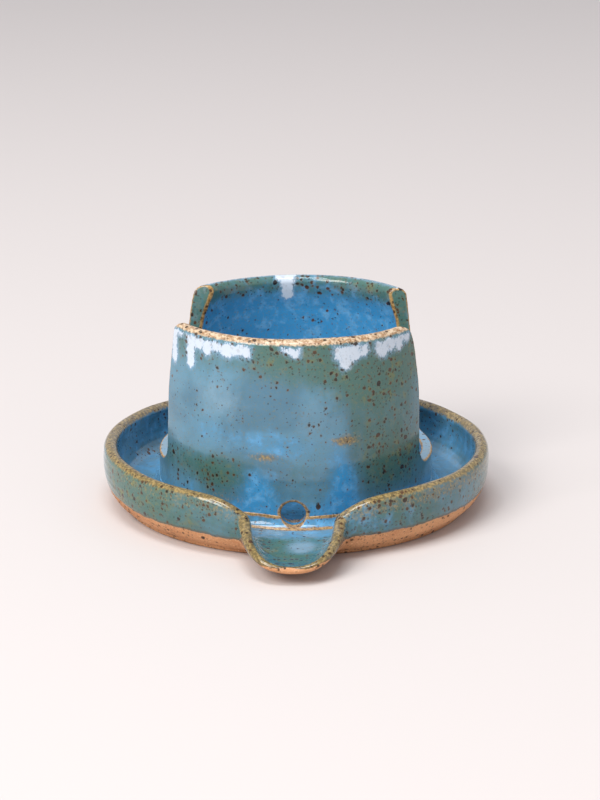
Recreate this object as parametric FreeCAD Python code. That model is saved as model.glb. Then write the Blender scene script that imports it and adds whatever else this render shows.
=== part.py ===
import FreeCAD
import Part
import math
import os

# Draining sponge holder in thrown stoneware: a round drip tray with a pulled
# pouring spout, and a bottomless slotted ring standing on the tray's floor.
# Millimetres, +Z up, spout towards -Y. The origin is on the tray's axis, on
# the flat base it stands on.

# Drip tray
tray_radius = 75.0           # outside, at its widest
tray_height = 23.5           # crest of the rim
foot_inset = 7.5             # the base is this much smaller in radius than the wall
foot_round = 1.4             # rounding of the base's edge
tray_wall = 5.3              # thickness of the thrown wall
floor_thickness = 6.0        # base to the top of the floor
floor_curl = 15.0            # the floor curls up over this much of the radius

# Pulled spout on the tray
spout_overhang = 22.8        # how far the lip stands out past the tray's side
spout_lip_height = 7.0       # top of the lip above the base
spout_lip_thickness = 2.6    # the pulled clay thins out at the lip
spout_channel_angle = 15.0   # half angle over which the rim runs outwards
spout_squareness = 3.6       # how squarely the channel ends at its lip
spout_dip_angle = 15.1       # half angle over which the rim sinks most of the way
spout_dip_shape = 2.25       # how sharply it sinks there

# Slotted ring
ring_radius = 53.1           # outside, lower straight part
ring_height = 77.0           # crest of the rim above the base
ring_wall = 4.5              # thickness of the wall
ring_rim_thickness = 5.8     # the rim is left thicker than the wall
ring_rim_lean = 1.9          # how far the wall leans in below the rim
ring_straight_height = 54.0  # the wall is straight up to here

# Slots cut down from the ring's rim, one on each side
slot_floor_height = 21.2     # bottom of the slots above the base
slot_top_width = 52.6        # at the rim
slot_floor_width = 47.6      # at the bottom, before its corners are rounded
slot_corner_radius = 6.5     # corners at the bottom
slot_mouth_depth = 9.0       # the slots open out over this much below the rim
slot_mouth_flare = 1.4       # by this much on each side
slot_mouth_radius = 12.0     # rounding where they start to open out
left_slot_offset = 3.2       # the left slot sits towards the back
right_slot_offset = 0.8      # the right slot is nearly central
cut_edge_round = 0.9         # sponged edges of the slots

# Drain hole through the front wall
drain_radius = 4.6
drain_clearance = 0.6        # lowest point of the hole above the tray's floor
drain_edge_round = 0.8

# Clay pressed into the corner between the ring and the floor
outer_coil_width = 3.0
outer_coil_height = 4.4
inner_coil_width = 3.4
inner_coil_height = 3.6

# Worked out from the sizes above
tray_foot_radius = tray_radius - foot_inset
floor_flat_radius = tray_radius - floor_curl
spout_reach = tray_radius + spout_overhang
ring_inner_radius = ring_radius - ring_wall
drain_height = floor_thickness + drain_clearance + drain_radius

sections_round = 144
skin_sectors = 6
steps_along_section = 64
steps_up_wall = 48
steps_over_rim = 24
first_outer_step = 0.1


def run_out(angle):
    """How far the rim has run out to the lip: one in the middle of the spout."""
    share = min(abs(angle) / spout_channel_angle, 1.0)
    return (1.0 - share ** spout_squareness) ** 2


def sink(angle):
    """How far the rim has sunk to the lip, over a wider stretch."""
    return math.exp(-((abs(angle) / spout_dip_angle) ** spout_dip_shape))


def mix(a, b, weight):
    return a + (b - a) * weight


def wall_controls(angle):
    """Four control points (radius, height) of the middle of the tray's wall."""
    out = run_out(angle)
    drop = sink(angle)
    half = tray_wall / 2.0
    crest_radius = tray_radius - half
    crest_height = tray_height - half
    start = (tray_foot_radius - 1.5, 3.9)
    plain = (
        (crest_radius - 0.8, 6.4),
        (crest_radius + 0.5, 13.5),
        (crest_radius - 0.2, crest_height),
    )
    tip_half = spout_lip_thickness / 2.0
    pulled = (
        (tray_foot_radius + 9.0, 3.5),
        (spout_reach - 11.0, 3.7),
        (spout_reach - tip_half, spout_lip_height - tip_half),
    )
    points = [start]
    for near, far in zip(plain, pulled):
        points.append((mix(near[0], far[0], out), mix(near[1], far[1], drop)))
    return points


def wall_middle(angle, step):
    """Point in the middle of the tray's wall, step running 0 to 1 up it."""
    a, b, c, d = wall_controls(angle)
    rest = 1.0 - step
    weights = (rest ** 3, 3 * rest * rest * step, 3 * rest * step * step, step ** 3)
    radius = sum(w * p[0] for w, p in zip(weights, (a, b, c, d)))
    height = sum(w * p[1] for w, p in zip(weights, (a, b, c, d)))
    turn = math.radians(angle)
    return FreeCAD.Vector(radius * math.sin(turn), -radius * math.cos(turn), height)


def wall_frame(angle, step):
    """Outward normal, and the direction up the wall square to its rim."""
    small = 0.2
    low = max(step - 0.01, 0.0)
    high = min(step + 0.01, 1.0)
    up = wall_middle(angle, high) - wall_middle(angle, low)
    along = wall_middle(angle + small, step) - wall_middle(angle - small, step)
    along.normalize()
    normal = along.cross(up)
    normal.normalize()
    square = normal.cross(along)
    square.normalize()
    return normal, square


def wall_half(angle, step):
    """Half the thickness of the tray's wall, thinner towards the lip."""
    thin = mix(tray_wall, spout_lip_thickness, run_out(angle) * step)
    return thin / 2.0


def round_point(angle, radius, height):
    turn = math.radians(angle)
    return FreeCAD.Vector(radius * math.sin(turn), -radius * math.cos(turn), height)


def raw_section(angle):
    """Points from the base, up the outside, over the rim, down to the floor."""
    points = []
    for n in range(7):
        turn = math.pi / 2.0 * n / 6
        radius = tray_foot_radius - foot_round * (1.0 - math.sin(turn))
        points.append(round_point(angle, radius, foot_round * (1.0 - math.cos(turn))))
    steps = [n / steps_up_wall for n in range(steps_up_wall + 1)]
    for step in steps:
        if step < first_outer_step:
            continue
        normal, square = wall_frame(angle, step)
        points.append(wall_middle(angle, step) + normal * wall_half(angle, step))
    normal, square = wall_frame(angle, 1.0)
    half = wall_half(angle, 1.0)
    for n in range(1, steps_over_rim):
        turn = math.pi * n / steps_over_rim
        offset = normal * (half * math.cos(turn)) + square * (half * math.sin(turn))
        points.append(wall_middle(angle, 1.0) + offset)
    for step in reversed(steps):
        normal, square = wall_frame(angle, step)
        points.append(wall_middle(angle, step) - normal * wall_half(angle, step))
    points.append(round_point(angle, floor_flat_radius + 2.0, floor_thickness + 0.12))
    points.append(round_point(angle, floor_flat_radius, floor_thickness))
    return points


def steer(before, point, after):
    """A smooth skin cuts corners, so its control points stand off a little."""
    return (before - point * 2.0 + after) * (-1.0 / 6.0)


def tray_section(angle):
    """The same outline as evenly spaced points."""
    raw = raw_section(angle)
    runs = [0.0]
    for before, after in zip(raw, raw[1:]):
        runs.append(runs[-1] + (after - before).Length)
    even = [raw[0]]
    index = 0
    for n in range(1, steps_along_section):
        target = runs[-1] * n / steps_along_section
        while runs[index + 1] < target:
            index += 1
        share = (target - runs[index]) / (runs[index + 1] - runs[index])
        even.append(raw[index] + (raw[index + 1] - raw[index]) * share)
    even.append(raw[-1])
    even[1].z = 0.0
    even[-2].z = floor_thickness
    return even


def tray_poles():
    """Control points of the skin, in rows that run right round the tray."""
    columns = []
    for n in range(sections_round):
        angle = 360.0 * (n - 1) / sections_round - 180.0
        columns.append(tray_section(angle))
    poles = []
    last = steps_along_section
    for index in range(last + 1):
        row = []
        for n, column in enumerate(columns):
            left = columns[n - 1][index]
            right = columns[(n + 1) % sections_round][index]
            pole = column[index] + steer(left, column[index], right)
            if 2 < index < last - 2:
                pole += steer(column[index - 1], column[index], column[index + 1])
            row.append(pole)
        poles.append(row)
    return poles


def tray_skin():
    """One smooth surface over the whole wall, steered by the sections."""
    spans = steps_along_section - 2
    skin = Part.BSplineSurface()
    skin.buildFromPolesMultsKnots(
        tray_poles(),
        [4] + [1] * (spans - 1) + [4],
        [1] * (sections_round + 1),
        [float(n) for n in range(spans + 1)],
        [float(n) for n in range(sections_round + 1)],
        False,
        True,
        3,
        3,
    )
    return skin


def flat_disc(faces, height):
    """Disc that closes the wall where its edges lie flat at one height."""
    rim = []
    for face in faces:
        for edge in face.Edges:
            box = edge.BoundBox
            if box.ZLength < 0.000001 and abs(box.ZMin - height) < 0.000001:
                rim.append(edge)
    return Part.Face(Part.Wire(Part.sortEdges(rim)[0]))


def make_drip_tray():
    """The skin in sectors, inside and outside, closed by the base and floor."""
    skin = tray_skin()
    spans = steps_along_section - 2
    faces = []
    for n in range(skin_sectors):
        first = float(sections_round * n // skin_sectors)
        last = float(sections_round * (n + 1) // skin_sectors)
        for low, high in ((0.0, spans / 2.0), (spans / 2.0, float(spans))):
            patch = skin.copy()
            patch.segment(low, high, first, last)
            faces.append(patch.toShape())
    discs = [flat_disc(faces, 0.0), flat_disc(faces, floor_thickness)]
    shell = Part.Shell(faces + discs)
    shell.sewShape()
    return Part.Solid(Part.Shell(shell.Faces))


def revolve(wire):
    face = Part.Face(wire)
    return face.revolve(FreeCAD.Vector(0, 0, 0), FreeCAD.Vector(0, 0, 1), 360)


def section_point(radius, height):
    return FreeCAD.Vector(radius, 0, height)


def ring_profile():
    """Closed outline of the ring's wall: straight below, a bulb at the rim."""
    half_rim = ring_rim_thickness / 2.0
    rim_middle = ring_radius - ring_rim_lean - half_rim
    bulb_height = ring_height - half_rim
    lean_height = ring_height - 8.0
    top = [
        section_point(ring_radius, ring_straight_height),
        section_point(ring_radius - ring_rim_lean * 0.35, ring_straight_height + 8.0),
        section_point(ring_radius - ring_rim_lean * 0.8, lean_height),
        section_point(rim_middle + half_rim, bulb_height),
        section_point(rim_middle + half_rim * 0.72, ring_height - half_rim * 0.31),
        section_point(rim_middle, ring_height),
        section_point(rim_middle - half_rim * 0.72, ring_height - half_rim * 0.31),
        section_point(rim_middle - half_rim, bulb_height),
        section_point(ring_inner_radius - ring_rim_lean * 0.8, lean_height),
        section_point(ring_inner_radius - ring_rim_lean * 0.35, ring_straight_height + 8.0),
        section_point(ring_inner_radius, ring_straight_height),
    ]
    curve = Part.BSplineCurve()
    up = FreeCAD.Vector(0, 0, 1)
    curve.interpolate(Points=top, InitialTangent=up, FinalTangent=up * -1.0)
    outer_foot = section_point(ring_radius, floor_thickness)
    inner_foot = section_point(ring_inner_radius, floor_thickness)
    edges = [
        Part.makeLine(outer_foot, top[0]),
        curve.toShape(),
        Part.makeLine(top[-1], inner_foot),
        Part.makeLine(inner_foot, outer_foot),
    ]
    return Part.Wire(edges)


def slot_outline(offset):
    """Slot seen along X, from above the rim on one side round to the other."""
    top = ring_height + 6.0
    half_top = slot_top_width / 2.0
    half_floor = slot_floor_width / 2.0
    slope = (half_top - half_floor) / (ring_height - slot_floor_height)
    half_mouth = half_top - slope * slot_mouth_depth
    flare = slope + slot_mouth_flare / slot_mouth_depth
    half_above = half_mouth + flare * (top - ring_height + slot_mouth_depth)
    sides = [
        (half_above, top),
        (half_mouth, ring_height - slot_mouth_depth),
        (half_floor, slot_floor_height),
    ]
    front = [FreeCAD.Vector(0, offset - half, height) for half, height in sides]
    back = [FreeCAD.Vector(0, offset + half, height) for half, height in reversed(sides)]
    return front + back


def slot_cutter(side, offset):
    """Slot run out through one side of the ring, its corners rounded."""
    corners = slot_outline(offset)
    wire = Part.makePolygon(corners + [corners[0]])
    block = Part.Face(wire).extrude(FreeCAD.Vector(side * ring_radius * 1.3, 0, 0))
    mouth_height = ring_height - slot_mouth_depth
    block = block.makeFillet(slot_mouth_radius, edges_along_x(block, mouth_height))
    return block.makeFillet(slot_corner_radius, edges_along_x(block, slot_floor_height))


def edges_along_x(block, height):
    """Edges of a slot that run along X at this height."""
    found = []
    for edge in block.Edges:
        box = edge.BoundBox
        if box.XLength > 1.0 and abs(box.Center.z - height) < 0.1 and box.ZLength < 0.1:
            found.append(edge)
    return found


def drain_cutter():
    start = FreeCAD.Vector(0, -ring_radius * 1.3, drain_height)
    length = ring_radius * 1.3 - ring_inner_radius * 0.7
    return Part.makeCylinder(drain_radius, length, start, FreeCAD.Vector(0, 1, 0))


def slot_edges(ring):
    """Edges left where the slots cut the ring's two faces and its rim."""
    found = []
    for edge in ring.Edges:
        box = edge.BoundBox
        if box.ZMin < slot_floor_height - 0.5:
            continue
        if abs(box.Center.x) < ring_inner_radius * 0.75:
            continue
        if box.XLength > ring_radius:
            continue
        found.append(edge)
    return found


def drain_edges(ring):
    found = []
    for edge in ring.Edges:
        box = edge.BoundBox
        if box.ZMin < floor_thickness + drain_clearance * 0.5:
            continue
        if box.ZMax > drain_height + drain_radius + 1.0 or box.XLength < drain_radius:
            continue
        found.append(edge)
    return found


def make_slotted_ring():
    ring = revolve(ring_profile())
    ring = ring.cut(slot_cutter(-1, left_slot_offset))
    ring = ring.cut(slot_cutter(1, right_slot_offset))
    ring = ring.cut(drain_cutter())
    ring = ring.makeFillet(cut_edge_round, slot_edges(ring))
    return ring.makeFillet(drain_edge_round, drain_edges(ring))


def make_coil(radius, side, width, height):
    """Three-cornered band of clay, its slope hollowed by a fingertip."""
    wall_top = section_point(radius, floor_thickness + height)
    corner = section_point(radius, floor_thickness)
    toe = section_point(radius + side * width, floor_thickness)
    lip = 0.35
    upper = section_point(radius + side * lip, floor_thickness + height)
    lower = section_point(radius + side * width, floor_thickness + lip)
    middle = section_point(
        radius + side * (width * 0.42),
        floor_thickness + height * 0.40,
    )
    hollow = Part.Arc(upper, middle, lower).toShape()
    edges = [
        Part.makeLine(corner, wall_top),
        Part.makeLine(wall_top, upper),
        hollow,
        Part.makeLine(lower, toe),
        Part.makeLine(toe, corner),
    ]
    return revolve(Part.Wire(edges)).cut(drain_cutter())


def main():
    os.makedirs("parts", exist_ok=True)
    parts = {
        "drip_tray": make_drip_tray(),
        "slotted_ring": make_slotted_ring(),
        "outer_joint_coil": make_coil(ring_radius, 1, outer_coil_width, outer_coil_height),
        "inner_joint_coil": make_coil(ring_inner_radius, -1, inner_coil_width, inner_coil_height),
    }
    for name, shape in parts.items():
        shape.exportStep("parts/" + name + ".step")
        box = shape.BoundBox
        print(name, shape.isValid(), len(shape.Solids), round(shape.Volume), box)


main()
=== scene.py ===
import math

import bpy
import numpy as np
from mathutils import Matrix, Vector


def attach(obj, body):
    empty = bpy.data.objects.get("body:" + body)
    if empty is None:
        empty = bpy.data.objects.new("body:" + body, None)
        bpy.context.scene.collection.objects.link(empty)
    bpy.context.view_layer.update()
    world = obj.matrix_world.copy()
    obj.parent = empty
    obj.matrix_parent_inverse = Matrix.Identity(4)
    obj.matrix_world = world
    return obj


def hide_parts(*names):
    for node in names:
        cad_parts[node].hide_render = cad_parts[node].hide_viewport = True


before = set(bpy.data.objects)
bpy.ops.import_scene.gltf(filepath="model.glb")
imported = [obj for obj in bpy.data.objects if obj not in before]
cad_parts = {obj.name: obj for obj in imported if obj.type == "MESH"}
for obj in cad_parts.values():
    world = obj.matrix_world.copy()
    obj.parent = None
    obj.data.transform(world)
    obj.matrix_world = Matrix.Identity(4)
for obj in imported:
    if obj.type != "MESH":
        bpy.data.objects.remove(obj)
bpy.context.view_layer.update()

# Sizes in millimetres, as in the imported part. Spout towards -Y, +Z up.
TRAY_RADIUS = 75.0
TRAY_HEIGHT = 23.5
FOOT_RADIUS = 67.5
FOOT_ROUND = 1.4
TRAY_WALL = 5.3
FLOOR = 6.0
FLOOR_FLAT = 60.0
LIP_REACH = 97.8
LIP_HEIGHT = 7.0
LIP_THICKNESS = 2.6
CHANNEL_ANGLE = 15.0
SQUARENESS = 3.6
DIP_ANGLE = 15.1
DIP_SHAPE = 2.25
RING_RADIUS = 53.1
RING_WALL = 4.5
RING_HEIGHT = 77.0
LEAN = 1.8
RIM_THICKNESS = 5.8
SLOT_FLOOR = 21.2
SLOT_TOP = 52.6
SLOT_BOTTOM = 47.6
SLOT_CORNER = 6.5
LEFT_SLOT = 3.2
RIGHT_SLOT = 0.8
CUT_ROUND = 0.9
DRAIN_RADIUS = 4.6
DRAIN_HEIGHT = 11.2
DRAIN_ROUND = 0.8
COIL_HOLE_ROUND = 0.4
MM = 0.001

# Each coil: the wall it lies against, which side of that wall, its width and height,
# and how far from the middle its outermost point may lie.
OUTER_COIL = {"wall": RING_RADIUS, "side": 1.0, "wide": 3.0, "tall": 4.4}
OUTER_COIL_REACH = 57.6
INNER_COIL = {"wall": RING_RADIUS - RING_WALL, "side": -1.0, "wide": 3.4, "tall": 3.6}
INNER_COIL_REACH = 49.8

# Grid spacing of the meshed surfaces, and how they are drawn onto the exact shape.
RING_PITCH, RING_PITCH_QUICK = 0.5, 0.9
COIL_PITCH, COIL_PITCH_QUICK = 0.32, 0.5
SLOPE_STEP = 0.02
SETTLING_ROUNDS = 4
LONGEST_SHIFT = 0.3

# Some glaze values are depths in millimetres. NOWHERE in "milk" or "band" means that the white
# (milky glaze, and on the back crest also a painted highlight) or the wiped rim isn't there; FAR in
# "bare" or "edge" that the bare foot or the cut edge is out of reach.
NOWHERE = -60.0
FAR = 40.0


# ---------------------------------------------------------------- helpers

def step(low, high, value):
    """Smooth step from 0 at low to 1 at high."""
    t = np.clip((value - low) / (high - low), 0.0, 1.0)
    return t * t * (3.0 - 2.0 * t)


def blob(u, v, cu, cv, su, sv):
    """Soft oval spot on a surface laid out as u, v."""
    return np.exp(-(((u - cu) / su) ** 2) - (((v - cv) / sv) ** 2))


def sway(angle, *terms):
    """Slow wandering of hand-made work: terms are (size, waves, phase)."""
    return sum(size * np.sin(waves * angle + phase) for size, waves, phase in terms)


def add_mesh(name, points, faces, normals=None):
    mesh = bpy.data.meshes.new(name)
    points = np.ascontiguousarray(points, dtype=np.float32) * MM
    faces = np.asarray(faces, dtype=np.int32)
    corners = faces.shape[1]
    mesh.vertices.add(len(points))
    mesh.vertices.foreach_set("co", points.ravel())
    mesh.loops.add(faces.size)
    mesh.loops.foreach_set("vertex_index", faces.ravel())
    mesh.polygons.add(len(faces))
    mesh.polygons.foreach_set("loop_start", np.arange(0, faces.size, corners, dtype=np.int32))
    mesh.polygons.foreach_set("use_smooth", np.ones(len(faces), dtype=bool))
    mesh.update(calc_edges=True)
    mesh.validate()
    if normals is not None:
        mesh.normals_split_custom_set_from_vertices([tuple(n) for n in normals])
    piece = bpy.data.objects.new(name, mesh)
    bpy.context.collection.objects.link(piece)
    return piece


def add_value(piece, name, values):
    layer = piece.data.attributes.new(name, "FLOAT", "POINT")
    layer.data.foreach_set("value", np.asarray(values, dtype=np.float32).ravel())


def add_values(piece, **layers):
    for name, values in layers.items():
        add_value(piece, name, np.broadcast_to(values, (len(piece.data.vertices),)))


# ---------------------------------------------------------------- drip tray

def run_out(angle):
    """How far the tray's rim has run out to the lip."""
    share = np.clip(np.abs(angle) / CHANNEL_ANGLE, 0.0, 1.0)
    return (1.0 - share ** SQUARENESS) ** 2


def sink(angle):
    """How far the tray's rim has sunk to the lip, over a wider stretch."""
    return np.exp(-((np.abs(angle) / DIP_ANGLE) ** DIP_SHAPE))


def bell(angle, half_angle, power):
    """Rounded bump: 1 at the spout, 0 from half_angle degrees on."""
    share = np.clip(np.abs(angle) / half_angle, 0.0, 1.0)
    return (0.5 + 0.5 * np.cos(np.pi * share)) ** power


def tray_middle(angle, rise):
    """Middle of the thrown wall: angle from the spout in degrees, rise 0 to 1."""
    out = run_out(angle)
    drop = sink(angle)
    turn = np.radians(angle)
    half = TRAY_WALL / 2.0
    crest_r = TRAY_RADIUS - half
    crest_z = TRAY_HEIGHT - half
    tip = LIP_THICKNESS / 2.0
    hand_r = sway(turn, (0.22, 2, 0.4), (0.12, 3, 2.0), (0.05, 7, 1.0))
    hand_z = sway(turn, (0.20, 1, 2.2), (0.16, 3, 0.3), (0.08, 5, 1.7), (0.04, 9, 0.2)) - 0.1
    plain = ((crest_r - 0.8, 6.4), (crest_r + 0.5, 13.5), (crest_r - 0.2, crest_z))
    pulled = (
        (FOOT_RADIUS + 9.0, 3.5),
        (LIP_REACH - 11.0, 3.7),
        (LIP_REACH - tip, LIP_HEIGHT - tip),
    )
    rest = 1.0 - rise
    weights = (rest ** 3, 3 * rest ** 2 * rise, 3 * rest * rise ** 2, rise ** 3)
    radius = weights[0] * (FOOT_RADIUS - 1.5)
    height = weights[0] * 3.9
    for weight, near, far in zip(weights[1:], plain, pulled):
        radius = radius + weight * (near[0] + (far[0] - near[0]) * out)
        height = height + weight * (near[1] + (far[1] - near[1]) * drop)
    radius = radius + hand_r * rise
    height = height + hand_z * rise ** 2 * (1.0 - 0.7 * drop)
    return np.stack([radius * np.sin(turn), -radius * np.cos(turn), height], axis=-1)


def unit(vectors):
    return vectors / np.linalg.norm(vectors, axis=-1, keepdims=True)


def tray_directions(angle, rise):
    """Across the tray's wall and up along it, at the same places as tray_middle."""
    above = tray_middle(angle, np.minimum(rise + 0.01, 1.0))
    up = above - tray_middle(angle, np.maximum(rise - 0.01, 0.0))
    along = unit(tray_middle(angle + 0.2, rise) - tray_middle(angle - 0.2, rise))
    normal = unit(np.cross(along, up))
    return normal, unit(np.cross(normal, along))


def rings_at(angle, radii, heights):
    """Points on level rings; the angle is from the spout in degrees."""
    turn = np.radians(angle)
    flat = np.ones_like(turn)
    return np.stack([radii * np.sin(turn), -radii * np.cos(turn), heights * flat], axis=-1)


def tray_grid():
    """Every section of the tray from the middle of its base to the middle of its floor."""
    even = np.arange(-1.0, 1.0, 1.0 / 500.0)[:, None]
    angle = 180.0 * (0.55 * even + 0.45 * even ** 3)
    turn = np.radians(angle)
    rise = np.linspace(0.0, 1.0, 46)[None, :]
    outer_rise = rise[:, rise[0] >= 0.1]
    out = run_out(angle)

    def half_at(share):
        return (TRAY_WALL + (LIP_THICKNESS - TRAY_WALL) * out * share)[..., None] / 2.0

    base_r = np.linspace(0.0, FOOT_RADIUS - FOOT_ROUND, 12)[None, :]
    base = rings_at(angle, base_r, np.zeros_like(base_r))
    bend = np.linspace(0.0, math.pi / 2.0, 8)[None, 1:]
    foot = rings_at(
        angle,
        FOOT_RADIUS - FOOT_ROUND * (1.0 - np.sin(bend)),
        FOOT_ROUND * (1.0 - np.cos(bend)),
    )
    normal, _ = tray_directions(angle, outer_rise)
    throw = sway(turn, (1.6, 1, 0.5), (0.7, 3, 1.1)) + outer_rise * 27.0
    relief = 0.05 * np.sin(2.0 * np.pi * throw / 3.6) + 0.02 * np.sin(2.0 * np.pi * throw / 1.3)
    outer = tray_middle(angle, outer_rise) + normal * (half_at(outer_rise) + relief[..., None])
    crest_normal, crest_square = tray_directions(angle, np.ones((1, 1)))
    over = np.linspace(0.0, math.pi, 19)[None, 1:-1, None]
    uneven = 0.06 * sway(turn, (1.0, 11, 0.0), (0.8, 17, 1.0))[..., None]
    crest_half = half_at(np.ones((1, 1))) + uneven
    rim = tray_middle(angle, np.ones((1, 1))) + crest_half * (
        crest_normal * np.cos(over) + crest_square * np.sin(over)
    )
    back = rise[:, ::-1]
    normal, _ = tray_directions(angle, back)
    throw = sway(turn, (1.2, 1, 2.5), (0.6, 2, 0.1)) + back * 24.0
    relief = 0.035 * np.sin(2.0 * np.pi * throw / 4.1) * (1.0 - 0.5 * back)
    inner = tray_middle(angle, back) - normal * (half_at(back) + relief[..., None])
    flat_r = np.linspace(FLOOR_FLAT + 2.0, 0.0, 72)[None, :]
    throw = flat_r + sway(turn, (0.7, 1, 0.3), (0.3, 2, 1.3))
    ripple = 0.055 * np.sin(2.0 * np.pi * throw / 2.9) + 0.02 * np.sin(2.0 * np.pi * throw / 1.2)
    lift = np.where(flat_r > FLOOR_FLAT, 0.12 * (flat_r - FLOOR_FLAT) / 2.0, 0.0)
    floor = rings_at(angle, flat_r, FLOOR + lift + ripple * step(0.0, 8.0, flat_r))
    parts = {"base": base, "foot": foot, "outer": outer, "rim": rim, "inner": inner, "floor": floor}
    return angle, parts


def tray_tones(points, crest_gap, outside):
    """Where the glaze runs blue, green, pale or stays thin, and where clay is bare; the pale spot
    in the spout is a painted reflection.
    """
    x, y, z = points[:, 0], points[:, 1], points[:, 2]
    radius = np.hypot(x, y)
    angle = np.degrees(np.arctan2(x, -y))
    turn = np.radians(angle)
    line = 9.3 + sway(turn, (0.9, 1, -0.9), (0.5, 4, 0.7), (0.3, 9, 0.2), (0.15, 23, 1.0))
    spout = bell(angle, 30.0, 1.0)
    line = line - 1.3 * spout
    lip = bell(angle, 9.0, 1.0)
    bare = np.where(outside, z - line, np.abs(crest_gap) + 1.8 - 3.0 * lip)
    floor = 1.0 - step(6.6, 11.0, z)
    inside = 1.0 - outside
    well = 1.0 - step(47.0, 48.0, radius)
    channel = bell(angle, 22.0, 0.6) * step(62.0, 70.0, radius) * inside
    blue = inside * (0.55 + 0.25 * np.sin(turn * 2.0 + 0.8)) * step(7.0, 13.0, z)
    blue = blue + inside * floor * 0.42 + 0.12 * well * inside
    blue = blue + inside * 0.20 * step(20.0, 60.0, x) * step(7.0, 13.0, z)
    blue = blue + outside * (0.14 + 0.12 * np.sin(turn * 3.0 + 0.5))
    green = outside * (0.72 + 0.20 * np.sin(turn * 5.0)) + inside * 0.45 * step(9.0, 20.0, z)
    # The channel runs green, except on the spot of painted reflection in the spout's hollow.
    green = green + 1.2 * channel * (1.0 - blob(x, y, 3.0, -75.0, 7.0, 7.0))
    green = green + 0.4 * well * inside
    pale = inside * floor * (0.40 + 0.25 * np.sin(turn * 3.0 + 2.0))
    pale = pale * (1.0 - well) * (1.0 - channel)
    # Painted reflection: a pale spot in the middle of the spout's hollow, where light from above
    # shines in it.
    pale = pale + inside * 1.1 * blob(x, y, 3.0, -75.0, 6.5, 6.5)
    narrow = 1.0 - 0.25 * bell(angle, 24.0, 0.5)
    thin = 1.0 - step(1.6, 4.8, np.abs(crest_gap) / narrow)
    shoulder = outside * (0.42 + 0.16 * np.sin(turn + 0.6))
    thin = np.maximum(thin, shoulder * step(13.0, 20.0, z + 5.0 * spout))
    blue = blue * (1.0 - 0.7 * channel)
    return dict(bare=bare, blue=blue, green=green, pale=pale, thin=thin)


def make_tray():
    _, parts = tray_grid()
    grid = np.concatenate(list(parts.values()), axis=1)
    rows, columns = grid.shape[:2]
    lengths = np.linalg.norm(np.diff(grid, axis=1), axis=2)
    run = np.concatenate([np.zeros((rows, 1)), np.cumsum(lengths, axis=1)], axis=1)
    before = sum(parts[name].shape[1] for name in ("base", "foot", "outer"))
    crest = before + parts["rim"].shape[1] // 2
    gap = run - run[:, crest:crest + 1]
    outside = np.zeros((rows, columns))
    outside[:, :crest] = 1.0
    # one point at each pole, in place of a whole ring of them
    points = np.concatenate([grid[:, 1:-1].reshape(-1, 3), grid[:1, 0], grid[:1, -1]])
    gaps = np.concatenate([gap[:, 1:-1].ravel(), [-90.0, 90.0]])
    sides = np.concatenate([outside[:, 1:-1].ravel(), [1.0, 0.0]])
    wide = columns - 2
    index = np.arange(rows * wide).reshape(rows, wide)
    following = np.roll(index, -1, axis=0)
    quads = np.stack([index[:, :-1], following[:, :-1], following[:, 1:], index[:, 1:]], axis=-1)
    first, last = rows * wide, rows * wide + 1
    start = np.stack([np.full(rows, first), following[:, 0], index[:, 0], index[:, 0]], axis=-1)
    end = np.stack([np.full(rows, last), index[:, -1], following[:, -1], following[:, -1]], axis=-1)
    piece = add_faces("drip_tray_glazed", points, quads.reshape(-1, 4), [start[:, :3], end[:, :3]])
    tones = tray_tones(points, gaps, sides)
    add_values(piece, edge=FAR, milk=NOWHERE, band=NOWHERE, **tones)
    return piece


def add_faces(name, points, quads, fans):
    """A mesh of quads with triangle fans at its poles."""
    mesh = bpy.data.meshes.new(name)
    faces = [tuple(face) for face in quads.tolist()]
    for fan in fans:
        faces.extend(tuple(face) for face in fan.tolist())
    mesh.from_pydata((points * MM).tolist(), [], faces)
    mesh.polygons.foreach_set("use_smooth", np.ones(len(faces), dtype=bool))
    mesh.update()
    piece = bpy.data.objects.new(name, mesh)
    bpy.context.collection.objects.link(piece)
    return piece


# ---------------------------------------------------------------- clay cut and pressed by hand

def round_join(a, b, radius):
    """The part inside both a and b, its edge rounded."""
    over = np.hypot(np.maximum(radius + a, 0.0), np.maximum(radius + b, 0.0))
    return np.minimum(-radius, np.maximum(a, b)) + over


def ring_section(turn, z):
    """Middle and half thickness of the thrown wall, and where its rim starts to round."""
    top = RING_HEIGHT - RIM_THICKNESS / 2.0
    thick = sway(turn, (0.10, 3, 1.0), (0.06, 8, 0.0)) * step(60.0, 76.0, z)
    half = (RING_WALL + (RIM_THICKNESS - RING_WALL) * step(62.0, top, z)) / 2.0 + thick
    hand = sway(turn, (0.20, 2, 0.9), (0.10, 3, 0.2)) * step(6.0, 60.0, z)
    return RING_RADIUS - half - LEAN * step(46.0, 77.0, z) + hand, half, top


def ring_wall(x, y, z):
    """Distance to the thrown wall before it is cut."""
    turn = np.arctan2(x, -y)
    lift = sway(turn, (0.22, 1, 0.6), (0.16, 2, 2.1), (0.07, 5, 0.3)) - 0.15
    z = z - lift * step(30.0, 77.0, z)
    middle, half, top = ring_section(turn, z)
    lines = 0.016 * np.sin(2.0 * np.pi * (z + sway(turn, (0.9, 1, 0.0), (0.4, 3, 1.0))) / 5.2)
    above = np.maximum(z - top, 0.0)
    return np.hypot(np.hypot(x, y) - middle, above) - half + lines * (1.0 - step(66.0, 72.0, z))


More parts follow.
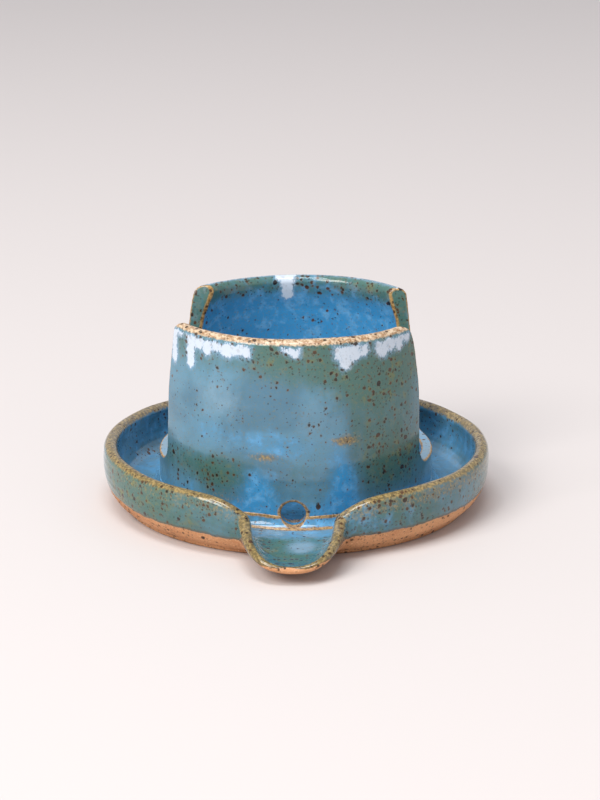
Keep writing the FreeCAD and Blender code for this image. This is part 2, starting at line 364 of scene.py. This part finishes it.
def ring_slots(x, y, z):
    """Distance to the nearer slot's outline, the same all along X."""
    offset = np.where(x < 0.0, LEFT_SLOT, RIGHT_SLOT)
    wander = 0.25 * np.sin(z / 9.0 + np.where(y > 0.0, 1.0, 2.6) + np.where(x < 0.0, 0.0, 1.9))
    slope = (SLOT_TOP - SLOT_BOTTOM) / 2.0 / (RING_HEIGHT - SLOT_FLOOR)
    flare = np.where(y > 0.0, np.where(x < 0.0, 2.2, 0.7), np.where(x < 0.0, 1.1, 2.8))
    mouth = flare * np.clip((z - 67.0) / 10.0, 0.0, 2.0) ** 2
    half = SLOT_BOTTOM / 2.0 + slope * (z - SLOT_FLOOR) + wander * step(24.0, 34.0, z) + mouth
    across = np.abs(y - offset) - (half - SLOT_CORNER)
    sag = 0.35 * (1.0 - ((y - offset) / (SLOT_BOTTOM / 2.0)) ** 2)
    down = (SLOT_FLOOR - sag + SLOT_CORNER) - z
    corner = np.hypot(np.maximum(across, 0.0), np.maximum(down, 0.0))
    return corner + np.minimum(np.maximum(across, down), 0.0) - SLOT_CORNER


def drain(x, y, z):
    """Distance to the drain hole, which runs along Y through the front only."""
    hole = np.hypot(x * 0.985 + 0.03 * (z - DRAIN_HEIGHT), z - DRAIN_HEIGHT) - DRAIN_RADIUS
    return np.maximum(hole, y + 20.0)


def ring_body(x, y, z):
    """Distance to the ring: its wall less the slots and the drain hole."""
    body = round_join(ring_wall(x, y, z), -ring_slots(x, y, z), CUT_ROUND)
    body = round_join(body, -drain(x, y, z), DRAIN_ROUND)
    return np.maximum(body, FLOOR - 0.2 - z)


def coil_hollow(radius, z, wall, side, wide, tall):
    """Distance to the hollow that a fingertip leaves in the coil, and to its two edges."""
    top = (wall + side * 0.35, FLOOR + tall)
    low = (wall + side * wide, FLOOR + 0.35)
    mid = (wall + side * wide * 0.42, FLOOR + tall * 0.40)
    ax, az = top[0] - mid[0], top[1] - mid[1]
    bx, bz = low[0] - mid[0], low[1] - mid[1]
    cross = 2.0 * (ax * bz - az * bx)
    ux = (bz * (ax * ax + az * az) - az * (bx * bx + bz * bz)) / cross
    uz = (ax * (bx * bx + bz * bz) - bx * (ax * ax + az * az)) / cross
    reach = math.hypot(ux, uz)
    hollow = reach - np.hypot(radius - mid[0] - ux, z - mid[1] - uz)
    edge = np.minimum(
        np.hypot(radius - top[0], z - top[1]),
        np.hypot(radius - low[0], z - low[1]),
    )
    return hollow, edge


def coil_parts(x, y, z, wall, side, wide, tall):
    """Distance to a coil pressed by hand, and to the two edges of its hollow face."""
    turn = np.arctan2(x, -y)
    press = 1.0 + sway(turn, (0.05, 5, 0.3), (0.04, 9, 1.2), (0.03, 14, 2.0))
    radius = wall + (np.hypot(x, y) - wall) / press
    lifted = FLOOR + (z - FLOOR) / (2.0 - press)
    hollow, edge = coil_hollow(radius, lifted, wall, side, wide, tall)
    span = side * (radius - wall)
    body = round_join(hollow, lifted - FLOOR - tall - 0.15, 0.25)
    body = round_join(body, span - wide - 0.15, 0.25)
    body = np.maximum(body, -0.3 - span)
    body = np.maximum(body, FLOOR - 0.3 - z)
    return body, edge


def outer_coil(x, y, z):
    body, _ = coil_parts(x, y, z, **OUTER_COIL)
    return round_join(body, -drain(x, y, z), COIL_HOLE_ROUND)


def inner_coil(x, y, z):
    body, _ = coil_parts(x, y, z, **INNER_COIL)
    return round_join(body, -drain(x, y, z), COIL_HOLE_ROUND)


CUBE = [(i, j, k) for i in (0, 1) for j in (0, 1) for k in (0, 1)]
CUBE_EDGES = [
    (a, b)
    for a in range(8)
    for b in range(a + 1, 8)
    if sum(abs(p - q) for p, q in zip(CUBE[a], CUBE[b])) == 1
]


def cell_points(field, cells):
    """One point in each cell that the surface crosses, amid its crossings."""
    i, j, k = cells.T
    corners = [field[i + a, j + b, k + c] for a, b, c in CUBE]
    total = np.zeros((len(cells), 3))
    count = np.zeros(len(cells))
    for a, b in CUBE_EDGES:
        crossed = (corners[a] < 0.0) != (corners[b] < 0.0)
        gap = np.where(crossed, corners[a] - corners[b], 1.0)
        share = (corners[a] / gap)[:, None]
        start = np.array(CUBE[a], dtype=float)
        spot = start + share * (np.array(CUBE[b]) - start)
        total += np.where(crossed[:, None], spot, 0.0)
        count += crossed
    return cells + total / count[:, None]


def cell_quads(inside, number):
    """A quad round every grid edge that the surface crosses."""
    found = []
    for axis in range(3):
        turned = np.moveaxis(inside, axis, 0)
        cells = np.moveaxis(number, axis, 0)
        low, high = turned[:-1, 1:-1, 1:-1], turned[1:, 1:-1, 1:-1]
        for wanted, order in ((low & ~high, (0, 1, 2, 3)), (~low & high, (3, 2, 1, 0))):
            a, b, c = np.nonzero(wanted)
            ring = [
                cells[a, b, c],
                cells[a, b + 1, c],
                cells[a, b + 1, c + 1],
                cells[a, b, c + 1],
            ]
            if axis == 1:
                ring.reverse()
            found.append(np.stack([ring[n] for n in order], axis=-1))
    return np.concatenate(found)


def surface(shape, low, high, pitch):
    """Mesh of the surface where shape(x, y, z) is zero, with its exact normals."""
    axes = [np.arange(a, b + pitch, pitch, dtype=np.float32) for a, b in zip(low, high)]
    grid = np.meshgrid(*axes, indexing="ij", sparse=True)
    field = shape(*grid)
    inside = field < 0.0
    wide, deep, tall = (count - 1 for count in inside.shape)
    filled = sum(
        inside[a:wide + a, b:deep + b, c:tall + c].astype(np.int8) for a, b, c in CUBE
    )
    cells = np.argwhere((filled > 0) & (filled < 8))
    number = np.full(filled.shape, -1, dtype=np.int32)
    number[tuple(cells.T)] = np.arange(len(cells))
    points = np.asarray(low) + cell_points(field, cells) * pitch
    quads = cell_quads(inside, number)
    for _ in range(SETTLING_ROUNDS):
        slope = slope_at(shape, points)
        value = shape(*points.T)
        size = np.maximum((slope ** 2).sum(axis=1), 0.25)
        shift = (value / size)[:, None] * slope
        points = points - np.clip(shift, -LONGEST_SHIFT, LONGEST_SHIFT)
    return points, quads, unit(slope_at(shape, points))


def slope_at(shape, points):
    slopes = []
    for axis in range(3):
        ahead, behind = points.copy(), points.copy()
        ahead[:, axis] += SLOPE_STEP
        behind[:, axis] -= SLOPE_STEP
        slopes.append((shape(*ahead.T) - shape(*behind.T)) / (2.0 * SLOPE_STEP))
    return np.stack(slopes, axis=1)


# ---------------------------------------------------------------- where the ring's glaze runs

def drips(along, down, spots):
    """Depth inside the white glaze; each run is (place along the rim, half width, length)."""
    total = np.zeros_like(down)
    for centre, half, length in spots:
        past = np.maximum(down - (length - half), 0.0)
        total += np.exp(np.maximum(half - np.hypot(along - centre, past), -40.0) / 0.9)
    return 0.9 * np.log(total)


FRONT_DRIPS = (
    (-54.5, 2.3, 17.0),
    (-50.0, 3.4, 5.6),
    (-43.4, 2.4, 16.4),
    (-39.0, 3.0, 9.0),
    (-34.5, 2.6, 10.4),
    (-30.0, 2.8, 8.2),
    (-25.5, 2.6, 9.8),
    (-21.0, 2.8, 8.4),
    (-17.4, 1.8, 9.0),
    (-1.6, 3.2, 6.6),
    (0.8, 1.5, 8.0),
    (16.6, 1.6, 9.4),
    (19.4, 2.2, 13.2),
    (23.0, 2.2, 10.6),
    (27.0, 2.0, 8.6),
    (33.6, 2.0, 9.0),
    (36.4, 2.0, 10.8),
    (40.0, 2.4, 8.6),
    (44.0, 2.2, 9.4),
    (48.5, 2.4, 7.4),
)
BACK_DRIPS = (
    (-5.4, 4.2, 4.4),
    (-4.4, 2.6, 11.6),
)


def ring_tones(points):
    """Where the ring's glaze runs blue, green, pale, thin or white, and its tan edges; the white
    along the back crest is milky glaze and partly a painted highlight.
    """
    x, y, z = points.T
    radius = np.hypot(x, y)
    front = y < 0.0
    angle = np.degrees(np.arctan2(x, np.abs(y)))
    middle, _, top = ring_section(np.arctan2(x, -y), z)
    half_rim = RIM_THICKNESS / 2.0
    over = half_rim * np.arctan2(np.abs(radius - middle), np.maximum(z - top, 1e-6))
    arc = np.where(z > top, over, half_rim * math.pi / 2.0 + top - z)
    outer = step(-0.6, 0.6, radius - middle)
    inner = 1.0 - outer
    along = np.radians(angle) * radius
    hanging = np.minimum(drips(along, arc, FRONT_DRIPS), arc - 3.9)
    white_front = np.where(front & (outer > 0.5), hanging, NOWHERE)
    white_back = np.where(~front & (outer < 0.5), drips(along, arc, BACK_DRIPS), NOWHERE)
    # Back panel's crest: milky glaze with a painted highlight along the rounded rim, where the
    # light shines on it.
    crest = np.where(front, NOWHERE, 0.4 - arc)
    milk = np.maximum(np.maximum(white_front, white_back), crest)
    limit = np.where(front, 3.2 * outer + 2.0 * inner, NOWHERE)
    band = np.where(z > 60.0, limit - arc, NOWHERE)
    wall = ring_wall(x, y, z)
    cut = ring_slots(x, y, z)
    hole = drain(x, y, z)
    edge = np.minimum(np.hypot(wall, cut), 0.65 * np.hypot(wall, hole))
    on_front = front * outer
    on_back = (~front) * outer
    blue = on_front * (
        0.95 * blob(x, z, -13.0, 20.0, 9.0, 8.0)
        + 1.0 * blob(x, z, 18.5, 22.0, 5.0, 13.0)
        + 0.70 * blob(x, z, 0.0, 11.5, 70.0, 4.5)
        + 0.30 * blob(x, z, -25.0, 41.0, 18.0, 7.0)
        + 0.35 * blob(x, z, -6.0, 37.0, 14.0, 7.0)
    )
    blue = blue + inner * (0.25 + 0.75 * step(76.0, 62.0, z)) + on_back * 0.35
    green = on_front * (
        0.72 * step(52.0, 70.0, z + 3.0 * np.sin(x / 11.0) + 0.05 * x)
        + 0.95 * blob(x, z, -34.0, 25.0, 17.0, 8.5)
        + 1.0 * blob(x, z, 38.0, 27.0, 15.0, 14.0)
        + 0.85 * blob(x, z, 34.0, 54.0, 16.0, 17.0)
        + 0.35 * blob(x, z, 3.0, 27.0, 7.0, 7.0)
    )
    green = green + on_back * (0.4 + 0.4 * np.sin(z / 9.0 + x / 17.0))
    green = green + inner * 0.8 * step(67.0, 73.0, z)
    green = green + inner * 0.6 * blob(x, z, -40.0, 70.0, 10.0, 14.0)
    throwing = np.sin(z * 0.9 + 0.9 * np.sin(angle / 24.0)) * np.sin(angle / 31.0 + 0.6)
    green = green + inner * (0.16 + 0.22 * throwing) * step(40.0, 60.0, z)
    pale = on_front * (
        0.55 * blob(x, z, -26.0, 53.0, 15.0, 9.0)
        + 0.40 * blob(x, z, 6.0, 48.0, 14.0, 9.0)
        + 0.20 * blob(x, z, -8.0, 32.0, 14.0, 4.0)
    )
    thin = on_front * (
        0.75 * blob(x, z, -10.0, 33.0, 7.0, 2.2)
        + 0.95 * blob(x, z, 19.0, 39.0, 6.0, 2.6)
        + 0.40 * blob(x, z, -24.0, 15.5, 12.0, 2.6)
        + 0.30 * blob(x, z, 6.0, 14.5, 10.0, 1.6)
    )
    cut_face = 1.0 - step(0.2, 1.2, np.abs(cut))
    sill = cut_face * (1.0 - step(22.0, 27.0, z))
    green = green * (1.0 - cut_face) + 0.85 * (cut_face - sill)
    blue = blue * (1.0 - cut_face) + 0.25 * cut_face
    pale = pale * (1.0 - cut_face) + 1.1 * sill
    milk = np.where(np.abs(cut) < 0.25, NOWHERE, milk)
    glaze = dict(blue=blue, green=green, pale=pale, thin=thin, milk=milk)
    return dict(bare=FAR, band=band, edge=edge, **glaze)


def make_ring():
    pitch = RING_PITCH
    low = (-54.6, -54.6, FLOOR - 0.9)
    high = (54.6, 54.6, RING_HEIGHT + 1.2)
    points, quads, normals = surface(ring_body, low, high, pitch)
    piece = add_mesh("slotted_ring_glazed", points, quads, normals)
    add_values(piece, **ring_tones(points))
    return piece


def make_coil(name, shape, size, reach):
    pitch = COIL_PITCH
    low = (-reach, -reach, FLOOR - 0.7)
    high = (reach, reach, FLOOR + size["tall"] + 0.9)
    points, quads, normals = surface(shape, low, high, pitch)
    piece = add_mesh(name, points, quads, normals)
    _, edge = coil_parts(*points.T, **size)
    angle = np.degrees(np.arctan2(points[:, 0], -points[:, 1]))
    edge = 0.75 * edge + 4.0 * step(24.0, 42.0, np.abs(angle))
    edge = np.minimum(edge, 0.3 + 1.1 * np.abs(drain(*points.T)))
    tones = dict(blue=0.55, green=0.1, pale=0.35, thin=0.0)
    add_values(piece, bare=FAR, milk=NOWHERE, band=NOWHERE, edge=edge, **tones)
    return piece


# ---------------------------------------------------------------- glaze

def srgb(red, green, blue):
    """Colour as read off a screen, made linear."""
    def linear(value):
        value = value / 255.0
        return value / 12.92 if value <= 0.04045 else ((value + 0.055) / 1.055) ** 2.4

    return (linear(red), linear(green), linear(blue), 1.0)


class Nodes:
    """Short names for wiring up a material."""

    def __init__(self, name):
        self.material = bpy.data.materials.new(name)
        self.material.use_nodes = True
        self.tree = self.material.node_tree
        self.tree.nodes.clear()
        self.place = self.node("ShaderNodeTexCoord").outputs["Object"]

    def node(self, kind, **settings):
        made = self.tree.nodes.new(kind)
        for key, value in settings.items():
            setattr(made, key, value)
        return made

    def feed(self, socket, value):
        if isinstance(value, bpy.types.NodeSocket):
            self.tree.links.new(value, socket)
        else:
            socket.default_value = value

    def math(self, kind, a, b=0.0):
        made = self.node("ShaderNodeMath", operation=kind)
        self.feed(made.inputs[0], a)
        self.feed(made.inputs[1], b)
        return made.outputs[0]

    def value(self, name):
        return self.node("ShaderNodeAttribute", attribute_name=name).outputs["Fac"]

    def mix(self, share, a, b):
        made = self.node("ShaderNodeMix", data_type="RGBA", clamp_factor=True)
        self.feed(made.inputs[0], share)
        self.feed(made.inputs[6], a)
        self.feed(made.inputs[7], b)
        return made.outputs[2]

    def ramp(self, value, low, high, a=0.0, b=1.0):
        made = self.node("ShaderNodeMapRange", interpolation_type="SMOOTHSTEP", clamp=True)
        for socket, given in zip(made.inputs, (value, low, high, a, b)):
            self.feed(socket, given)
        return made.outputs[0]

    def stretch(self, x, y, z):
        made = self.node("ShaderNodeMapping")
        self.feed(made.inputs["Vector"], self.place)
        made.inputs["Scale"].default_value = (x, y, z)
        return made.outputs[0]

    def noise(self, scale, detail=3.0, rough=0.5, place=None, warp=0.0):
        made = self.node("ShaderNodeTexNoise")
        self.feed(made.inputs["Vector"], place or self.place)
        made.inputs["Scale"].default_value = scale
        made.inputs["Detail"].default_value = detail
        made.inputs["Roughness"].default_value = rough
        made.inputs["Distortion"].default_value = warp
        return made.outputs[0]

    def specks(self, cell_mm, share, size, soft, more=0.0):
        """Round spots of mixed sizes; share of the cells hold one, up to size across the cell."""
        made = self.node("ShaderNodeTexVoronoi")
        wobble = self.node("ShaderNodeMix", data_type="RGBA", blend_type="LINEAR_LIGHT")
        wobble.inputs[0].default_value = 0.0006
        self.feed(wobble.inputs[6], self.place)
        ragged = self.node("ShaderNodeTexNoise")
        ragged.inputs["Scale"].default_value = 1500.0 / cell_mm
        self.feed(ragged.inputs["Vector"], self.place)
        self.feed(wobble.inputs[7], ragged.outputs["Color"])
        self.feed(made.inputs["Vector"], wobble.outputs[2])
        made.inputs["Scale"].default_value = 1000.0 / cell_mm
        split = self.node("ShaderNodeSeparateColor")
        self.feed(split.inputs[0], made.outputs["Color"])
        limit = self.math("SUBTRACT", 1.0 - share, more)
        over = self.math("SUBTRACT", split.outputs[0], limit)
        reach = self.math("MULTIPLY", self.ramp(over, 0.0, share), size)
        inside = self.math("SUBTRACT", reach, made.outputs["Distance"])
        return self.ramp(inside, -soft, soft)


def glaze_colour(n):
    """Breaking blue glaze: clouds, blue pools, green where thin, pale where thick and where a
    reflection is painted in the spout.
    """
    cloud = n.noise(38.0, 4.0, 0.55, warp=0.6)
    mottle = n.noise(240.0, 4.0, 0.6, warp=0.3)
    grain = n.noise(1400.0, 2.0, 0.6)
    runs = n.noise(1.0, 3.0, 0.6, place=n.stretch(420.0, 420.0, 70.0))
    stir = n.math("MULTIPLY", n.math("SUBTRACT", mottle, 0.5), 0.55)
    drift = n.math("MULTIPLY", n.math("SUBTRACT", cloud, 0.5), 0.9)
    shake = n.math("ADD", stir, drift)
    streak = n.math("MULTIPLY", n.math("SUBTRACT", runs, 0.5), 0.45)
    blue = n.ramp(n.math("ADD", n.value("blue"), n.math("ADD", shake, streak)), 0.15, 0.95)
    green = n.ramp(n.math("SUBTRACT", n.math("ADD", n.value("green"), streak), shake), 0.10, 0.95)
    pale = n.ramp(n.math("ADD", n.value("pale"), shake), 0.15, 1.0)
    colour = n.mix(n.ramp(cloud, 0.35, 0.65), srgb(74, 114, 136), srgb(90, 134, 156))
    colour = n.mix(n.math("MULTIPLY", pale, 0.75), colour, srgb(128, 154, 172))
    colour = n.mix(green, colour, srgb(70, 105, 98))
    colour = n.mix(n.math("MULTIPLY", green, n.ramp(mottle, 0.5, 0.72)), colour, srgb(106, 112, 74))
    colour = n.mix(blue, colour, srgb(60, 138, 188))
    colour = n.mix(n.math("MULTIPLY", blue, n.ramp(mottle, 0.45, 0.70)), colour, srgb(98, 158, 200))
    dust = n.math("MULTIPLY", n.ramp(grain, 0.52, 0.72), 0.42)
    colour = n.mix(dust, colour, srgb(112, 112, 84))
    return colour, green, mottle


def thin_glaze(n, colour, mottle):
    """The glaze breaks to olive and cream where it is thin: rims, ridges and edges."""
    fine = n.noise(900.0, 3.0, 0.65)
    shake = n.math("MULTIPLY", n.math("SUBTRACT", fine, 0.5), 1.1)
    thin = n.ramp(n.math("ADD", n.value("thin"), shake), 0.25, 0.95)
    olive = n.mix(n.ramp(fine, 0.4, 0.65), srgb(108, 84, 36), srgb(162, 134, 78))
    colour = n.mix(n.math("MULTIPLY", thin, 0.85), colour, olive)
    near = n.math("ADD", n.value("edge"), n.math("MULTIPLY", n.math("SUBTRACT", mottle, 0.5), 0.9))
    line = n.ramp(near, 0.45, 0.95, 1.0, 0.0)
    tan = n.mix(n.ramp(fine, 0.35, 0.6), srgb(122, 86, 38), srgb(182, 142, 84))
    return n.mix(n.math("MULTIPLY", line, 0.92), colour, tan), line


def white_runs(n, colour):
    """Milky glaze under the rim, in rounded runs with finely feathered edges; along the back crest
    also a painted highlight.
    """
    lobes = n.noise(420.0, 2.0, 0.5)
    feather = n.noise(1.0, 3.0, 0.7, place=n.stretch(1900.0, 1900.0, 1000.0))
    soft = n.noise(600.0, 3.0, 0.6)
    shake = n.math("MULTIPLY", n.math("SUBTRACT", lobes, 0.5), 2.6)
    shake = n.math("ADD", shake, n.math("MULTIPLY", n.math("SUBTRACT", feather, 0.5), 3.4))
    reach = n.math("ADD", n.value("milk"), shake)
    halo = n.ramp(reach, -1.6, 0.5)
    body = n.ramp(reach, 0.0, 0.8)
    colour = n.mix(n.math("MULTIPLY", halo, 0.5), colour, srgb(130, 164, 196))
    deep = n.math("ADD", reach, n.math("MULTIPLY", n.math("SUBTRACT", soft, 0.5), 1.8))
    white = n.mix(n.ramp(deep, -0.2, 0.9), srgb(152, 182, 212), srgb(198, 208, 220))
    return n.mix(n.math("MULTIPLY", body, 0.96), colour, white), body


def rim_band(n, colour):
    """Front rim wiped nearly bare: toasted cream over the clay."""
    fine = n.noise(700.0, 4.0, 0.7)
    shake = n.math("MULTIPLY", n.math("SUBTRACT", fine, 0.5), 2.0)
    band = n.ramp(n.math("ADD", n.value("band"), shake), -0.3, 0.5)
    cream = n.mix(n.ramp(fine, 0.38, 0.62), srgb(150, 112, 76), srgb(206, 184, 156))
    return n.mix(band, colour, cream), band


def bare_clay(n, colour):
    """Unglazed foot: toasted buff clay up to the glaze line, which is darker."""
    wander = n.noise(160.0, 3.0, 0.6)
    fine = n.noise(1700.0, 3.0, 0.7)
    broad = n.noise(45.0, 3.0, 0.5)
    level = n.math("ADD", n.value("bare"), n.math("MULTIPLY", n.math("SUBTRACT", wander, 0.5), 2.2))
    bare = n.ramp(level, -0.15, 0.15, 1.0, 0.0)
    near = n.math("ABSOLUTE", n.math("SUBTRACT", level, 0.35))
    line = n.math("MULTIPLY", n.ramp(near, 0.1, 1.1, 1.0, 0.0), 0.55)
    clay = n.mix(n.ramp(broad, 0.35, 0.65), srgb(182, 124, 82), srgb(206, 150, 106))
    clay = n.mix(n.ramp(fine, 0.5, 0.7), clay, srgb(224, 176, 134))
    colour = n.mix(line, colour, srgb(92, 70, 40))
    return n.mix(bare, colour, clay), bare


def add_specks(n, colour, green, white):
    """Iron specks in the clay that burn through the glaze."""
    drift = n.math("SUBTRACT", n.noise(70.0, 2.0, 0.5), 0.5)
    few = n.math("MULTIPLY", n.math("SUBTRACT", green, 0.5), 0.34)
    few = n.math("ADD", few, n.math("MULTIPLY", drift, 0.9))
    tiny = n.specks(1.15, 0.66, 0.36, 0.06, few)
    small = n.specks(2.0, 0.58, 0.32, 0.04, few)
    large = n.specks(4.6, 0.32, 0.22, 0.025, few)
    halo = n.specks(2.0, 0.58, 0.46, 0.14, few)
    rust = n.noise(300.0, 2.0)
    brown = n.mix(n.ramp(rust, 0.4, 0.6), srgb(30, 20, 14), srgb(76, 46, 26))
    hidden = n.math("SUBTRACT", 1.0, n.math("MULTIPLY", white, 0.85))
    rusty = n.math("MULTIPLY", n.math("MULTIPLY", halo, 0.35), hidden)
    colour = n.mix(rusty, colour, srgb(112, 88, 48))
    for spot, strength in ((tiny, 0.6), (small, 0.88), (large, 0.94)):
        shown = n.math("MULTIPLY", n.math("MULTIPLY", spot, strength), hidden)
        colour = n.mix(shown, colour, brown)
    return colour, n.math("MAXIMUM", small, large)


def stoneware(name):
    n = Nodes(name)
    colour, green, mottle = glaze_colour(n)
    colour, line = thin_glaze(n, colour, mottle)
    colour, white = white_runs(n, colour)
    colour, band = rim_band(n, colour)
    colour, bare = bare_clay(n, colour)
    colour, spots = add_specks(n, colour, green, white)
    shader = n.node("ShaderNodeBsdfPrincipled")
    output = n.node("ShaderNodeOutputMaterial")
    n.feed(output.inputs["Surface"], shader.outputs[0])
    n.feed(shader.inputs["Base Color"], colour)
    sheen = n.ramp(n.noise(90.0, 3.0, 0.5), 0.35, 0.7, 0.07, 0.15)
    rough = n.math("ADD", sheen, n.math("MULTIPLY", band, 0.16))
    rough = n.math("ADD", rough, n.math("MULTIPLY", line, 0.10))
    dry = n.node("ShaderNodeMix", data_type="FLOAT")
    n.feed(dry.inputs[0], bare)
    n.feed(dry.inputs[2], rough)
    dry.inputs[3].default_value = 0.82
    n.feed(shader.inputs["Roughness"], dry.outputs[0])
    peel = n.noise(520.0, 2.0, 0.5)
    grain = n.noise(2600.0, 3.0, 0.7)
    height = n.math("MULTIPLY", peel, 0.35)
    height = n.math("SUBTRACT", height, n.math("MULTIPLY", spots, 0.22))
    height = n.math("ADD", height, n.math("MULTIPLY", white, 0.30))
    rubble = n.math("ADD", n.math("MULTIPLY", bare, 0.9), n.math("MULTIPLY", band, 0.35))
    height = n.math("ADD", height, n.math("MULTIPLY", grain, rubble))
    height = n.math("SUBTRACT", height, n.math("MULTIPLY", bare, 0.6))
    bump = n.node("ShaderNodeBump")
    bump.inputs["Strength"].default_value = 0.55
    bump.inputs["Distance"].default_value = 0.00022
    n.feed(bump.inputs["Height"], height)
    n.feed(shader.inputs["Normal"], bump.outputs[0])
    return n.material


# ---------------------------------------------------------------- studio

def floor_material():
    n = Nodes("studio_floor")
    shader = n.node("ShaderNodeBsdfPrincipled")
    output = n.node("ShaderNodeOutputMaterial")
    n.feed(output.inputs["Surface"], shader.outputs[0])
    shader.inputs["Base Color"].default_value = srgb(203, 196, 194)
    shader.inputs["Roughness"].default_value = 0.75
    return n.material


def add_floor():
    bpy.ops.mesh.primitive_plane_add(size=12.0, location=(0.0, 0.0, 0.0))
    floor = bpy.context.object
    floor.name = "studio_floor"
    floor.data.materials.append(floor_material())


def add_light(name, place, aim, size, power, colour):
    lamp = bpy.data.lights.new(name, "AREA")
    lamp.shape = "RECTANGLE"
    lamp.size, lamp.size_y = size
    lamp.energy = power
    lamp.color = colour
    light = bpy.data.objects.new(name, lamp)
    bpy.context.collection.objects.link(light)
    light.location = place
    away = Vector(place) - Vector(aim)
    light.rotation_euler = away.to_track_quat("Z", "Y").to_euler()


def add_studio():
    add_floor()
    add_light("key", (-1.3, -1.4, 1.7), (0.0, 0.0, 0.03), (1.3, 1.3), 55.0, (1.0, 0.985, 0.96))
    add_light("top", (-0.2, -0.5, 2.2), (0.0, 0.0, 0.0), (1.2, 0.7), 28.0, (1.0, 1.0, 1.0))
    add_light("fill", (2.2, -1.4, 1.0), (0.0, 0.0, 0.03), (1.6, 1.6), 3.0, (1.0, 0.97, 0.94))
    world = bpy.data.worlds.new("studio")
    world.use_nodes = True
    world.node_tree.nodes["Background"].inputs["Color"].default_value = (0.93, 0.95, 1.0, 1.0)
    world.node_tree.nodes["Background"].inputs["Strength"].default_value = 0.60
    bpy.context.scene.world = world
    bpy.context.scene.view_settings.view_transform = "Standard"


def add_camera():
    """As the photograph: 17 degrees above the table, just right of the spout."""
    yaw = math.radians(1.0)
    across, back, high = 0.00155, -0.9309, 0.3264
    camera = bpy.data.objects.new("camera", bpy.data.cameras.new("camera"))
    camera.data.lens = 113.2
    camera.data.sensor_width = 36.0
    camera.data.clip_end = 50.0
    camera.location = (
        across * math.cos(yaw) - back * math.sin(yaw),
        across * math.sin(yaw) + back * math.cos(yaw),
        high,
    )
    camera.rotation_euler = (math.radians(90.0 - 17.15), 0.0, yaw)
    bpy.context.collection.objects.link(camera)
    bpy.context.scene.camera = camera


def main():
    glaze = stoneware("blue_glaze_stoneware")
    pieces = {
        "drip_tray": make_tray(),
        "slotted_ring": make_ring(),
        "outer_joint_coil": make_coil(
            "outer_coil_glazed", outer_coil, OUTER_COIL, OUTER_COIL_REACH
        ),
        "inner_joint_coil": make_coil(
            "inner_coil_glazed", inner_coil, INNER_COIL, INNER_COIL_REACH
        ),
    }
    for node, piece in pieces.items():
        piece.data.materials.append(glaze)
        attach(piece, "root")
        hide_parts(node)
    add_studio()
    add_camera()


main()
